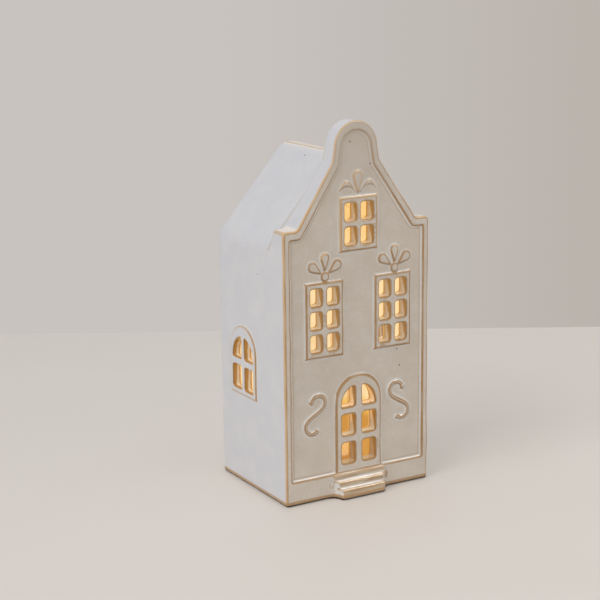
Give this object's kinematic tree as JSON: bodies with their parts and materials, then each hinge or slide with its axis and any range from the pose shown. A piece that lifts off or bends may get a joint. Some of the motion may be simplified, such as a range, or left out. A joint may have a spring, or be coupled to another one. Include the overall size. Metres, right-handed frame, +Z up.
{
  "type": "light-up christmas townhouse",
  "caption": "Hollow glazed ceramic townhouse with a stepped, round-topped gable, cut-out windows and front steps, lit from inside by a battery LED unit plugged into its base.",
  "frame": {"origin": "middle of the footprint, steps included, on the surface the house stands on", "axes": "+Z up, -Y out of the facade with its door and steps, +X to the right of someone facing the door"},
  "size_m": [0.0906, 0.0786, 0.2],
  "materials": {
    "glaze": "glossy off-white glaze that breaks to tan on the edges",
    "white_plastic": "satin white ABS",
    "black_plastic": "matt black",
    "silicone": "matt translucent white silicone",
    "steel": "plated steel",
    "nickel": "bright nickel plate",
    "board": "green solder mask",
    "led_lens": "clear warm white epoxy lens",
    "resistor_body": "lacquered"
  },
  "bodies": {
    "house": {"ceramic_house": "glaze"},
    "light_unit": {"grip_ring": "silicone", "unit_housing": "white_plastic", "unit_base": "white_plastic", "circuit_board": "board", "switch_body": "steel", "led": "led_lens", "led_lead_1": "nickel", "led_lead_2": "nickel", "resistor": "resistor_body", "positive_contact": "nickel", "negative_contact": "nickel", "battery_1": "steel", "battery_2": "steel", "housing_screw_1": "steel", "housing_screw_2": "steel", "housing_screw_3": "steel", "housing_screw_4": "steel", "board_screw_1": "steel", "board_screw_2": "steel"},
    "battery_door": {"battery_door": "white_plastic"},
    "door_screw": {"door_screw": "steel"},
    "switch": {"switch_knob": "black_plastic"}
  },
  "joints": [
    {"name": "light_unit_pull", "type": "slide", "parent": "house", "child": "light_unit", "axis": [0, 0, -1], "range_m": [0, 0.024]},
    {"name": "battery_door_lift", "type": "slide", "parent": "light_unit", "child": "battery_door", "axis": [0, 0, -1], "range_m": [0, 0.008]},
    {"name": "door_screw_turn", "type": "hinge", "parent": "battery_door", "child": "door_screw", "pos_m": [0, -0.0033, 0.0019], "axis": [0, 0, -1], "range_deg": [0, 1800]},
    {"name": "switch_slide", "type": "slide", "parent": "light_unit", "child": "switch", "axis": [1, 0, 0], "range_m": [0, 0.002]}
  ]
}
